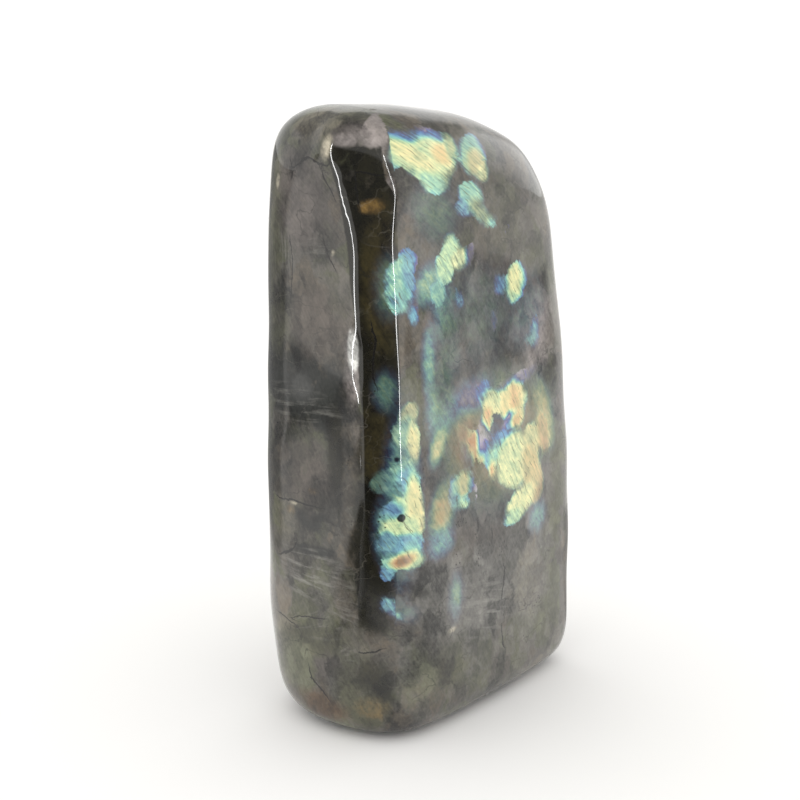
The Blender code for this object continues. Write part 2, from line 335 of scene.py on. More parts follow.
WIDE_VEILS = (
    Veil("smoke", 30, 78, 38, 90, 0, 0.37),
    Veil("shadow", 4.5, 42.5, 5.5, 2, -26, 0.7),
    Veil("smoke", 50, 42, 12, 24, 0, 0.7),
    Veil("smoke", 26, 34, 18, 14, 0, 0.85),
    Veil("smoke", 12, 39, 8, 10, 0, 0.9),
    Veil("pearl", 55, 97, 7, 12, 0, 0.62),
    Veil("pearl", 46, 126, 4, 10, 0, 0.20),
    Veil("rose", 31, 50, 18, 10, 0, 0.7),
    Veil("rose", 44, 76, 10, 3, 0, 0.5),
    Veil("plum", 38, 112, 16, 14, 0, 0.6),
    Veil("smoke", 29, 35, 7, 6, 0, 0.6),
    Veil("smoke", 3.6, 25, 1.8, 9, 0, 0.5),
    Veil("olive", 17, 18, 8, 9, 0, 0.5),
    Veil("sand", 50, 31, 10, 12, 0, 0.4),
    Veil("slate", 7, 6, 3, 3, 0, 0.5),
    Veil("slate", 33, 97, 20, 5, 5, 0.7),
    Veil("olive", 20, 133, 14, 8, 0, 0.5),
    Veil("smoke", 12, 128, 9, 8, 0, 0.5),
    Veil("smoke", 22, 88, 12, 6, 0, 0.5),
    Veil("plum", 47, 127, 10, 8, 0, 0.55),
    Veil("slate", 30, 105, 10, 8, 0, 0.42),
    Veil("slate", 15, 97, 8, 10, 0, 0.45),
    Veil("slate", 24, 16, 11, 8, 0, 0.42),
    Veil("smoke", 56, 100, 5, 14, 0, 0.5),
    # Painted glint: a small pale fleck of light low on the wide face
    Veil("cream", 18, 27.8, 1.4, 1, 0, 0.5),
    Veil("amber", 54, 44, 1.2, 2.4, 0, 0.3),
    Veil("olive", 40, 130, 10, 12, 0, 0.5),
)

HIDDEN_VEILS = (
    Veil("smoke", 150, 80, 30, 40, 0, 0.5),
    Veil("plum", 165, 110, 20, 20, 0, 0.6),
    Veil("shadow", 130, 100, 8, 22, 10, 0.5),
    Veil("olive", 160, 40, 20, 16, 0, 0.6),
    Veil("slate", 140, 84, 18, 6, -8, 0.7),
    Veil("rose", 120, 34, 12, 10, 0, 0.6),
    Veil("smoke", 100, 70, 14, 26, 0, 0.5),
    Veil("olive", 90, 120, 10, 14, 0, 0.5),
    Veil("slate", 100, 30, 10, 8, 0, 0.5),
    Veil("rust", 104, 56, 5, 3, 0, 0.3),
    Veil("amber", 152, 90, 2.5, 1.6, -10, 0.4),
)
VEILS = LEFT_VEILS + BEVEL_VEILS + WIDE_VEILS + HIDDEN_VEILS
# Of these colours, the cream and the glint are painted glints and highlights, the pearl is partly painted
# reflection, and the shadow is partly painted shade
TONES = {
    "slate": (0.023, 0.024, 0.022),
    "plum": (0.073, 0.063, 0.057),
    "rose": (0.074, 0.062, 0.052),
    "smoke": (0.136, 0.131, 0.119),
    "pearl": (0.215, 0.190, 0.178),
    "sand": (0.130, 0.117, 0.084),
    "olive": (0.066, 0.065, 0.040),
    "moss": (0.100, 0.103, 0.066),
    "rust": (0.075, 0.048, 0.028),
    "shadow": (0.010, 0.009, 0.004),
    "bronze": (0.034, 0.027, 0.009),
    "amber": (0.34, 0.20, 0.055),
    "cream": (0.50, 0.45, 0.34),
    "glint": (0.80, 0.80, 0.76),
}

# Feathery pale streaks, which fan out from a source
Wisp = namedtuple("Wisp", "along height wide tall tilt source_along source_height strength")

WISPS = (
    Wisp(-25, 43, 15, 10, -5, -70, 46, 0.9),
    Wisp(-15, 36, 6, 5, -10, -60, 44, 0.8),
    Wisp(-24, 30, 12, 5, 0, -44, 22, 0.5),
    Wisp(-15, 24, 4, 3, 0, -24, 20, 0.6),
    Wisp(-29, 87, 19, 6, 0, -240, 60, 0.6),
    Wisp(-25, 127, 10, 5, 0, -240, 100, 0.3),
    Wisp(-33, 122, 5, 10, 0, -33, -60, 0.5),
    Wisp(32, 31, 20, 11, -14, -60, 54, 0.7),
    Wisp(43, 34, 6, 4, -10, -60, 50, 0.4),
    Wisp(27, 14, 8, 7, -40, 0, 40, 0.3),
    Wisp(20, 104, 9, 12, 60, 8, 84, 0.3),
    Wisp(50, 52, 10, 14, 70, 36, 20, 0.35),
    Wisp(148, 76, 20, 9, 0, 100, 70, 0.6),
    Wisp(170, 56, 12, 9, 0, 200, 40, 0.5),
    Wisp(104, 106, 8, 12, 0, 100, 60, 0.5),
)

# Pitted places, where the polish has missed small holes
Pitting = namedtuple("Pitting", "along height wide tall tilt strength")

PITTED = (
    Pitting(21.5, 56, 4, 1.8, 0, 1.0),
    Pitting(20, 48, 1.5, 4.5, 0, 1.0),
    Pitting(28, 46.5, 1.4, 5, 0, 1.0),
    Pitting(38, 44, 1.5, 3, 0, 0.9),
    Pitting(55.5, 23, 4.5, 2.4, 25, 1.0),
    Pitting(50, 15, 1.2, 3, -20, 0.8),
    Pitting(-13, 76, 1, 3.5, 0, 0.8),
    Pitting(-8, 61, 5, 5, 0, 0.9),
    Pitting(6.3, 71, 1.4, 4, 0, 0.8),
    Pitting(-6, 100, 2, 12, 0, 0.5),
    Pitting(-18, 144, 4, 5, 0, 0.5),
    Pitting(126, 52, 4, 3, 0, 0.8),
    Pitting(158, 92, 3, 5, 20, 0.7),
)

# A hairline crack: its points round and up the stone, and half its width, in mm
Crack = namedtuple("Crack", "points width")

CRACKS = (
    Crack(((-30.5, 144.5), (-28, 146), (-25, 148.3), (-21, 147.2), (-18, 146.7), (-16, 149)), 0.26),
    Crack(((-21, 147.5), (-19, 144), (-17, 141), (-15, 138)), 0.18),
    Crack(((-31, 148), (-29.5, 144.5), (-30, 142)), 0.18),
    Crack(((-20.5, 131), (-18.5, 126), (-15, 121)), 0.14),
    Crack(((-31, 131), (-30, 122), (-31, 112)), 0.12),
    Crack(((-40, 61.5), (-36, 61), (-32, 61.8), (-27, 61.4), (-19, 62)), 0.24),
    Crack(((-37.5, 45.5), (-34, 47.5), (-31.5, 49), (-30, 51.5)), 0.30),
    Crack(((-40, 30), (-35, 29), (-30, 27.5)), 0.16),
    Crack(((-35, 29.2), (-28, 31.5), (-20, 32.5)), 0.14),
    Crack(((-27.5, 19.5), (-26.5, 15), (-23, 12.5), (-20, 9)), 0.24),
    Crack(((-13, 25.5), (-9, 25), (-3, 27)), 0.14),
    Crack(((27.5, 55.5), (28.6, 53), (27.8, 51.2)), 0.26),
    Crack(((33.6, 51.5), (34.4, 48.5), (33.4, 46.5)), 0.22),
    Crack(((38.5, 44), (39.5, 36), (38, 27), (39.5, 18), (40.5, 7)), 0.20),
    Crack(((40.5, 41), (41, 33), (39.8, 26), (41.3, 16)), 0.12),
    Crack(((-11, 146), (-7, 145.4), (-2.5, 144.8)), 0.16),
    Crack(((-10.6, 147), (-10, 141), (-9, 136)), 0.16),
    Crack(((-7, 112), (-5.5, 106), (-6.5, 99), (-5, 93)), 0.26),
    Crack(((-12, 63.5), (-8, 67), (-2, 64), (3, 58), (7, 54)), 0.05),
    Crack(((1, 84), (3, 78), (6, 71), (8, 62)), 0.04),
    Crack(((-3, 62), (1, 55), (4, 50)), 0.04),
    Crack(((125, 30), (132, 38), (140, 41), (149, 50)), 0.22),
    Crack(((160, 150), (158, 136), (163, 124)), 0.18),
    Crack(((96, 130), (99, 112), (95, 100)), 0.18),
)

# Two dark specks among the flashes of the ridge: their places in space and radii, in mm
SPECKS = (((-36.9, -22.0, 77.0), 0.85), ((-36.3, -23.0, 62.0), 1.0))


class StoneLooks(bpy.types.PropertyGroup):
    """Sizes and colours of the stone's finish."""

    fineness: IntProperty(
        name="Fineness", description="Times that the stone's faces are divided", default=2, min=1, max=2
    )
    body_colour: FloatVectorProperty(
        name="Body colour",
        description="Colour of the stone where nothing flashes",
        subtype="COLOR",
        default=(0.089, 0.084, 0.065),
    )
    polish: FloatProperty(
        name="Polish roughness", description="Roughness of the polished surface", default=0.04, min=0, max=1
    )
    twin_spacing: FloatProperty(
        name="Twin line spacing",
        description="Distance round the stone between the dark lines that cross the flashes",
        default=2.0 * MM,
        subtype="DISTANCE",
    )


class StageLooks(bpy.types.PropertyGroup):
    """The camera's place and the light."""

    camera_turn: FloatProperty(
        name="Camera turn",
        description="How far the camera stands round the stone from its wide face",
        default=math.radians(-50.79),
        subtype="ANGLE",
    )
    camera_lift: FloatProperty(
        name="Camera lift",
        description="How far the camera looks down",
        default=math.radians(15.42),
        subtype="ANGLE",
    )
    camera_distance: FloatProperty(
        name="Camera distance", description="Distance to what it aims at", default=0.48, subtype="DISTANCE"
    )
    focal_length: FloatProperty(
        name="Focal length", description="Lens, in mm on a 36 mm sensor", default=82.4
    )
    floor_colour: FloatVectorProperty(
        name="Floor colour", description="Colour of the floor", subtype="COLOR", default=(0.94, 0.93, 0.92)
    )


class Value:
    """One number, colour or vector on its way through a material. Sums on numbers add Math nodes."""

    def __init__(self, finish, socket):
        self.finish = finish
        self.socket = socket

    def maths(self, operation, *values):
        inputs = dict(zip(("Value", "Value_001", "Value_002"), values))
        return self.finish.node("ShaderNodeMath", {"operation": operation}, inputs)

    def __add__(self, other):
        return self.maths("ADD", self, other)

    def __radd__(self, other):
        return self.maths("ADD", other, self)

    def __sub__(self, other):
        return self.maths("SUBTRACT", self, other)

    def __rsub__(self, other):
        return self.maths("SUBTRACT", other, self)

    def __mul__(self, other):
        return self.maths("MULTIPLY", self, other)

    def __truediv__(self, other):
        return self.maths("DIVIDE", self, other)

    def __abs__(self):
        return self.maths("ABSOLUTE", self)

    def fraction(self):
        return self.maths("FRACT", self)

    def at_least(self, other):
        return self.maths("MAXIMUM", self, other)

    def at_most(self, other):
        return self.maths("MINIMUM", self, other)


class Finish:
    """An emptied material, or world, with one method that adds any node to it."""

    def __init__(self, owner):
        owner.use_nodes = True
        self.tree = owner.node_tree
        self.tree.nodes.clear()

    def node(self, kind, settings=None, inputs=None, output=0):
        """Adds a node, sets it up, feeds its sockets and returns one of its outputs."""
        node = self.tree.nodes.new(kind)
        for name, setting in (settings or {}).items():
            if name == "stops":
                self.set_stops(node.color_ramp, setting)
            else:
                setattr(node, name, setting)
        for name, value in (inputs or {}).items():
            self.feed(node, name, value)
        if not node.outputs:
            return None
        outputs = {socket.identifier: socket for socket in node.outputs}
        return Value(self, node.outputs[output] if isinstance(output, int) else outputs[output])

    def feed(self, node, name, value):
        """Links a value to the node's socket of that identifier, or sets it there."""
        socket = next(s for s in node.inputs if s.identifier == name)
        if isinstance(value, Value):
            self.tree.links.new(value.socket, socket)
        elif socket.type == "RGBA" and len(value) == 3:
            socket.default_value = (*value, 1)
        else:
            socket.default_value = value

    def surface(self, shader):
        """Ends a material with a surface of these values."""
        surface = self.node("ShaderNodeBsdfPrincipled", None, shader)
        self.node("ShaderNodeOutputMaterial", None, {"Surface": surface})

    @staticmethod
    def set_stops(ramp, stops):
        """Gives a colour ramp these (place, colour) stops."""
        while len(ramp.elements) < len(stops):
            ramp.elements.new(0.5)
        for element, (place, colour) in zip(ramp.elements, stops):
            element.position = place
            element.color = (*colour, 1)

    def attribute(self, name):
        """A number that is stored on the stone's mesh."""
        return self.node("ShaderNodeAttribute", {"attribute_name": name}, output="Fac")

    def smooth(self, value, start, end):
        """0 at start and 1 at end, with a smooth rise between."""
        settings = {"interpolation_type": "SMOOTHSTEP"}
        inputs = {"Value": value, "From Min": start, "From Max": end}
        return self.node("ShaderNodeMapRange", settings, inputs)

    def mix(self, share, first, second, blend="MIX"):
        """The first colour passing into the second one."""
        settings = {"data_type": "RGBA", "blend_type": blend}
        inputs = {"Factor_Float": share, "A_Color": first, "B_Color": second}
        return self.node("ShaderNodeMix", settings, inputs, "Result_Color")

    def ramp(self, value, stops):
        """A colour looked up by a number."""
        return self.node("ShaderNodeValToRGB", {"stops": stops}, {"Fac": value})

    def stretched(self, place, sizes, turn=(0, 0, 0)):
        """A place turned and then measured in these sizes, for patterns that are longer one way."""
        inputs = {"Vector": place, "Rotation": [math.radians(angle) for angle in turn]}
        turned = self.node("ShaderNodeMapping", {"vector_type": "TEXTURE"}, inputs)
        settings = {"operation": "DIVIDE"}
        return self.node("ShaderNodeVectorMath", settings, {"Vector": turned, "Vector_001": sizes})

    def noise(self, place, detail=2.0, roughness=0.5, distortion=0.0):
        """Cloudy noise from -0.5 to 0.5, whose clouds are about one unit of the place wide."""
        inputs = {"Vector": place, "Scale": 1.0, "Detail": detail}
        inputs |= {"Roughness": roughness, "Distortion": distortion}
        return self.node("ShaderNodeTexNoise", None, inputs, "Fac") - 0.5


def girth(x, y):
    """How far round the stone each place lies, in mm from the ridge beside the wide face."""
    corners = np.array(GIRTH_CORNERS)
    sides = np.roll(corners, -1, axis=0) - corners
    lengths = np.linalg.norm(sides, axis=1)
    starts = np.concatenate([[0], np.cumsum(lengths)[:-1]])
    starts[LEFT_SIDES_FROM:] -= lengths.sum()
    nearest = np.full(x.shape, np.inf)
    along = np.zeros(x.shape)
    for corner, side, length, start in zip(corners, sides, lengths, starts):
        way = np.clip(((x - corner[0]) * side[0] + (y - corner[1]) * side[1]) / length, 0, length)
        foot_x = corner[0] + side[0] * way / length
        foot_y = corner[1] + side[1] * way / length
        distance = np.hypot(x - foot_x, y - foot_y)
        closer = distance < nearest
        nearest = np.where(closer, distance, nearest)
        along = np.where(closer, start + way, along)
    return along


def store(mesh, name, values):
    """Keeps one number for each vertex of a mesh under a name."""
    layer = mesh.attributes.new(name=name, type="FLOAT", domain="POINT")
    layer.data.foreach_set("value", np.asarray(values, dtype=np.float32))


def vertex_places(mesh):
    """The mesh's vertices in mm."""
    places = np.empty(len(mesh.vertices) * 3, dtype=np.float32)
    mesh.vertices.foreach_get("co", places)
    return places.reshape(-1, 3) / MM


def smooth_step(value, start, end):
    """0 up to start and 1 from end, with a smooth rise between."""
    share = np.clip((value - start) / (end - start), 0, 1)
    return share * share * (3 - 2 * share)


def lobe_depth(along, height, lobe):
    """How deep places lie inside an oval lobe, in mm. It is negative outside."""
    tilt = math.radians(lobe.tilt)
    right = along - lobe.along
    up = height - lobe.height
    across = (right * math.cos(tilt) + up * math.sin(tilt)) / lobe.wide
    over = (up * math.cos(tilt) - right * math.sin(tilt)) / lobe.tall
    return (1 - np.hypot(across, over)) * min(lobe.wide, lobe.tall)


def worn_flat(places, turn, low, high, depth):
    """Places in mm, cut back to a flat across a ridge that faces this turn, between two heights."""
    facing = np.array([math.cos(math.radians(turn)), math.sin(math.radians(turn))])
    reach = places[:, :2] @ facing
    rows = np.round(places[:, 2]).astype(int)
    crest = np.full(rows.max() + 2, -np.inf)
    np.maximum.at(crest, rows, reach)
    heights = np.flatnonzero(np.isfinite(crest))
    limit = np.interp(places[:, 2], heights, crest[heights])
    middle, half = (low + high) / 2, (high - low) / 2
    cut = depth * smooth_step(1 - np.abs(places[:, 2] - middle) / half, 0, 0.6)
    over = np.maximum(reach - (limit - cut), 0) * (cut > 0)
    places[:, :2] -= over[:, None] * facing
    return places


class LABRADORITE_OT_stone(bpy.types.Operator):
    """Shapes the visible stone over the plain solid"""

    bl_idname = "labradorite.stone"
    bl_label = "Shape Stone"

    def execute(self, context):
        looks = context.scene.stone_looks
        bpy.ops.object.select_all(action="DESELECT")
        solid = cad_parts["stone"]
        stone = solid.copy()
        stone.data = solid.data.copy()
        stone.name = "polished_stone"
        context.scene.collection.objects.link(stone)
        stone.parent = None
        context.view_layer.objects.active = stone
        stone.select_set(True)
        bpy.ops.object.mode_set(mode="EDIT")
        bpy.ops.mesh.select_all(action="SELECT")
        bpy.ops.mesh.remove_doubles(threshold=MM / 100)
        bpy.ops.mesh.tris_convert_to_quads(face_threshold=math.radians(60), shape_threshold=math.radians(60))
        bpy.ops.object.mode_set(mode="OBJECT")
        finer = stone.modifiers.new("finer", "SUBSURF")
        finer.levels = looks.fineness
        finer.render_levels = looks.fineness
        bpy.ops.object.modifier_apply(modifier=finer.name)
        self.wear_ridges(stone.data)
        bpy.ops.object.shade_smooth()
        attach(stone, "root")
        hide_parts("stone")
        return {"FINISHED"}

    @staticmethod
    def wear_ridges(mesh):
        """Leans the tops of the two ridges to the left and wears a flat on the left one."""
        places = vertex_places(mesh).astype(float)
        along = girth(places[:, 0], places[:, 1])
        for lean in LEANS:
            inside = lobe_depth(along, places[:, 2], lean) / min(lean.wide, lean.tall)
            places[:, :2] += smooth_step(inside, 0, 0.9)[:, None] * np.array(lean.move)
        places = worn_flat(places, WORN_TURN, WORN_FROM, WORN_TO, WORN_DEPTH)
        mesh.vertices.foreach_set("co", (places * MM).astype(np.float32).ravel())
        mesh.update()


def flash_layers(along, height):
    """How deep each place lies in a flash, that flash's hue and glow, and the faint colour under it."""
    layers = {name: np.zeros(along.shape) for name in ("flash_hue", "flash_glow", "haze_hue", "haze")}
    merged = np.full(along.shape, math.exp(-EDGE_REACH * LOBE_MERGING))
    for lobe in FLASHES:
        inside = np.clip(lobe_depth(along, height, lobe), -EDGE_REACH, EDGE_REACH)
        merged += np.exp(inside * LOBE_MERGING)
        cover = smooth_step(inside, -1.4, 0.5)
        layers["flash_hue"] += cover * (lobe.hue - layers["flash_hue"])
        layers["flash_glow"] += cover * (lobe.glow - layers["flash_glow"])
    for lobe in HAZES:
        inside = lobe_depth(along, height, lobe) / min(lobe.wide, lobe.tall)
        cover = smooth_step(inside, -0.45, 0.7)
        layers["haze_hue"] += cover * (lobe.hue - layers["haze_hue"])
        layers["haze"] += cover * (lobe.glow - layers["haze"])
    layers["flash_depth"] = np.log(merged) / LOBE_MERGING
    return layers


def twin_layers(along, height):
    """Where each place lies across the twin lines, which are steeper low down than near the top."""
    steps = np.linspace(0, 180, 721)
    shear = LOW_SHEAR + (HIGH_SHEAR - LOW_SHEAR) * smooth_step(steps, *SHEAR_CHANGE)
    swept = np.concatenate([[0], np.cumsum((shear[1:] + shear[:-1]) / 2 * np.diff(steps))])
    return {"twin_across": along + np.interp(height, steps, swept), "twin_way": height}


def painted_shade_bevel(along, height):
    """How far each place lies on the front bevel, whose sides are soft low down. Its darkness is painted
    shade, for the dark room that the bevel mirrors and the sheen that it lacks.
    """
    left = np.interp(height, *LEFT_RIDGE)
    right = np.interp(height, *RIGHT_RIDGE)
    soft = np.interp(height, *BEVEL_SOFTNESS)
    share = smooth_step(along, left - soft, left + soft) * smooth_step(along, right + soft, right - soft)
    return share * smooth_step(height, *BEVEL_FOOT) * smooth_step(height, *BEVEL_HEAD)


def veil_layers(along, height):
    """How strongly each tone clouds each place."""
    layers = {tone: np.zeros(along.shape) for tone in TONES}
    # The shadow tone starts with the front bevel's painted shade
    layers["shadow"] = painted_shade_bevel(along, height)
    for veil in VEILS:
        inside = lobe_depth(along, height, veil) / min(veil.wide, veil.tall)
        layers[veil.tone] = np.maximum(layers[veil.tone], veil.strength * smooth_step(inside, -0.7, 0.6))
    return {"veil_" + tone: layer for tone, layer in layers.items()}


def wisp_layers(along, height):
    """How strongly each place is streaked, and where it lies across and along the streaks."""
    layers = {name: np.zeros(along.shape) for name in ("wisp_strength", "wisp_across", "wisp_way")}
    for wisp in WISPS:
        inside = lobe_depth(along, height, wisp) / min(wisp.wide, wisp.tall)
        strength = wisp.strength * np.clip(inside * 1.5, 0, 1)
        right = along - wisp.source_along
        up = height - wisp.source_height
        middle = math.dist((wisp.along, wisp.height), (wisp.source_along, wisp.source_height))
        stronger = strength > layers["wisp_strength"]
        lean = math.atan2(wisp.height - wisp.source_height, wisp.along - wisp.source_along)
        forward = right * math.cos(lean) + up * math.sin(lean)
        turned = np.arctan2(up * math.cos(lean) - right * math.sin(lean), forward)
        found = {"wisp_strength": strength, "wisp_across": turned * middle, "wisp_way": np.hypot(right, up)}
        for name, values in found.items():
            layers[name] = np.where(stronger, values, layers[name])
    return layers


def wear_layers(along, height):
    """How pitted each place is, and how near it is to one of the two upright ridges."""
    pitted = np.zeros(along.shape)
    for spot in PITTED:
        inside = lobe_depth(along, height, spot) / min(spot.wide, spot.tall)
        pitted = np.maximum(pitted, spot.strength * np.clip(inside * 2 + 0.3, 0, 1))
    right = np.exp(-(((along - np.interp(height, *RIGHT_RIDGE)) / RIGHT_WEAR) ** 2))
    right *= 1 + 2 * smooth_step(height, *RIGHT_WEAR_RISE)
    left = np.exp(-(((along - np.interp(height, *LEFT_RIDGE)) / LEFT_WEAR) ** 2))
    left *= 1 + 2 * smooth_step(height, *LEFT_WEAR_RISE)
    return {"pitted": pitted, "ridge_wear": np.maximum(right, left)}


def crack_layers(along, height):
    """Which side of the nearest crack each place lies on and how far, and how open that crack is."""
    nearest = np.full(along.shape, CRACK_REACH)
    side = np.full(along.shape, CRACK_REACH)
    opening = np.zeros(along.shape)
    for crack in CRACKS:
        lengths = [math.dist(a, b) for a, b in zip(crack.points, crack.points[1:])]
        gone = 0
        for (ax, ay), (bx, by), length in zip(crack.points, crack.points[1:], lengths):
            way_x, way_y = (bx - ax) / length, (by - ay) / length
            way = (along - ax) * way_x + (height - ay) * way_y
            off = (height - ay) * way_x - (along - ax) * way_y
            over = way - np.clip(way, 0, length)
            distance = np.hypot(off, over)
            share = np.clip((gone + way) / sum(lengths), 0, 1)
            closer = distance < nearest
            nearest = np.where(closer, distance, nearest)
            side = np.where(closer, off, side)
            taper = np.clip(4 * share, 0, 1) * np.clip(4 - 4 * share, 0, 1)
            opening = np.where(closer, crack.width * taper * (distance < CRACK_SPREAD), opening)
            gone += length
    return {"crack_side": side, "crack_opening": opening}


class LABRADORITE_OT_markings(bpy.types.Operator):
    """Lays the colour flashes, veils and cracks round the stone"""

    bl_idname = "labradorite.markings"
    bl_label = "Lay Markings"

    def execute(self, context):
        mesh = bpy.data.objects["polished_stone"].data
        x, y, height = vertex_places(mesh).T
        along = girth(x, y)
        layers = flash_layers(along, height) | veil_layers(along, height) | wisp_layers(along, height)
        layers |= wear_layers(along, height) | crack_layers(along, height) | twin_layers(along, height)
        for name, values in layers.items():
            store(mesh, name, values)
        return {"FINISHED"}


# Colours of the flashes from the lowest hue to the highest one
LOWEST_HUE = -0.15
FLASH_COLOURS = (
    (-0.15, (0.66, 0.60, 0.66)),
    (-0.06, (0.36, 0.32, 0.50)),
    (0.01, (0.16, 0.16, 0.38)),
    (0.09, (0.14, 0.27, 0.52)),
    (0.20, (0.23, 0.47, 0.60)),
    (0.33, (0.34, 0.70, 0.58)),
    (0.46, (0.62, 0.84, 0.50)),
    (0.60, (0.88, 0.86, 0.46)),
    (0.72, (0.90, 0.72, 0.36)),
    (0.84, (0.80, 0.50, 0.28)),
    (0.92, (0.62, 0.30, 0.12)),
    (1.00, (0.36, 0.16, 0.06)),
)

# Colours of the stone between its olive and its rusty parts, and of its fine markings
OLIVE_BODY = (0.078, 0.080, 0.046)
BROWN_BODY = (0.096, 0.087, 0.074)
RUSTY_BODY = (0.098, 0.081, 0.060)
SEAM_COLOUR = (0.016, 0.015, 0.012)
HEALED_COLOUR = (0.26, 0.24, 0.20)
WISP_COLOUR = (0.32, 0.31, 0.28)
TWIN_LINE_COLOUR = (0.12, 0.14, 0.09)
SPECK_COLOUR = (0.006, 0.007, 0.02)
CRACK_COLOUR = (0.008, 0.007, 0.006)
PIT_COLOUR = (0.012, 0.011, 0.009)


def moved(finish, place, shift):
    """A place moved by this many mm, so that a second pattern differs from the first."""
    return finish.node("ShaderNodeVectorMath", {"operation": "ADD"}, {"Vector": place, "Vector_001": shift})


def blocks(finish, place, size, soft):
    """Random numbers, each constant over an angular block of about this size in mm: its red and green."""
    inputs = {"Vector": finish.stretched(place, (size, size, size * 1.5), (8, -14, 20)), "Scale": 1.0}
    inputs["Smoothness"] = soft
    colour = finish.node("ShaderNodeTexVoronoi", {"feature": "SMOOTH_F1"}, inputs, "Color")
    red = finish.node("ShaderNodeSeparateColor", None, {"Color": colour}, "Red")
    green = finish.node("ShaderNodeSeparateColor", None, {"Color": colour}, "Green")
    return red - 0.5, green - 0.5


def stone_body(finish, place, looks):
    """The stone's own colour, clouded by its veils, among which are painted highlights, glints, reflections
    and shade.
    """
    bend = {"Vector": finish.stretched(place, (5, 5, 5)), "Scale": 1.0, "Detail": 4.0, "Roughness": 0.6}
    bend = finish.node("ShaderNodeTexNoise", None, bend, "Color")
    bend = {"Vector": bend, "Vector_001": (5.5, 5.5, 5.5), "Vector_002": place}
    bent = finish.node("ShaderNodeVectorMath", {"operation": "MULTIPLY_ADD"}, bend)
    large_tone, large_hue = blocks(finish, bent, 10, 0.25)
    small_tone, small_hue = blocks(finish, moved(finish, bent, (31, 5, 9)), 4, 0.3)
    clouds = finish.noise(finish.stretched(place, (12, 12, 9)), detail=6, roughness=0.6)
    mottle = finish.noise(finish.stretched(bent, (3.2, 3.2, 2.6)), detail=6, roughness=0.68)
    grain = finish.noise(finish.stretched(place, (0.9, 0.9, 1.2)), detail=3, roughness=0.6)
    hue = large_hue * 0.9 + small_hue * 0.5 + mottle * 0.9 + 0.5
    colour = finish.ramp(hue, (
        (0.15, OLIVE_BODY),
        (0.42, looks.body_colour),
        (0.62, BROWN_BODY),
        (0.88, RUSTY_BODY),
    ))
    for number, (name, tone_colour) in enumerate(TONES.items()):
        elsewhere = moved(finish, bent, (40.0 * number, 7, 3))
        wander = finish.noise(finish.stretched(elsewhere, (5, 5, 6)), 5, 0.65)
        share = finish.attribute("veil_" + name) * (1 + wander * 2.0) + wander * 0.35
        colour = finish.mix(finish.smooth(share, 0.10, 0.85), colour, tone_colour)
    brushed_place = {"X": finish.attribute("twin_across") / 0.8, "Y": finish.attribute("twin_way") / 7}
    scratches = finish.noise(finish.node("ShaderNodeCombineXYZ", None, brushed_place), 4, 0.65)
    tone = large_tone * 0.9 + small_tone * 0.7 + clouds * 0.9 + mottle * 0.7
    tone = tone + grain * 1.1 + scratches * 0.9 + 1.0
    colour = finish.mix(1.0, colour, tone.at_least(0.15), "MULTIPLY")
    seams = finish.noise(finish.stretched(place, (15, 15, 9), (20, 12, 0)), detail=4, roughness=0.5)
    seams = finish.smooth(abs(seams), 0.013, 0.002) * finish.smooth(clouds, -0.10, 0.15)
    colour = finish.mix(seams * 0.6, colour, SEAM_COLOUR)
    healed = finish.stretched(moved(finish, place, (17, 60, 4)), (13, 13, 8), (-30, 16, 0))
    healed = finish.smooth(abs(finish.noise(healed, detail=4, roughness=0.5)), 0.011, 0.001)
    healed = healed * finish.smooth(clouds, 0.08, -0.16)
    colour = finish.mix(healed * 0.16, colour, HEALED_COLOUR)
    streak_place = {"X": finish.attribute("wisp_across") / 1.5, "Y": finish.attribute("wisp_way") / 12}
    streaks = finish.noise(finish.node("ShaderNodeCombineXYZ", None, streak_place), 5, 0.6, 0.3)
    wisp = finish.smooth(streaks + mottle * 0.3, -0.03, 0.26) * finish.attribute("wisp_strength")
    colour = finish.mix(wisp * 0.85, colour, WISP_COLOUR)
    return colour, grain, mottle


def hue_colour(finish, hue):
    """The flash colour of a hue."""
    length = 1 - LOWEST_HUE
    stops = [((stop - LOWEST_HUE) / length, colour) for stop, colour in FLASH_COLOURS]
    return finish.ramp((hue - LOWEST_HUE) / length, stops)


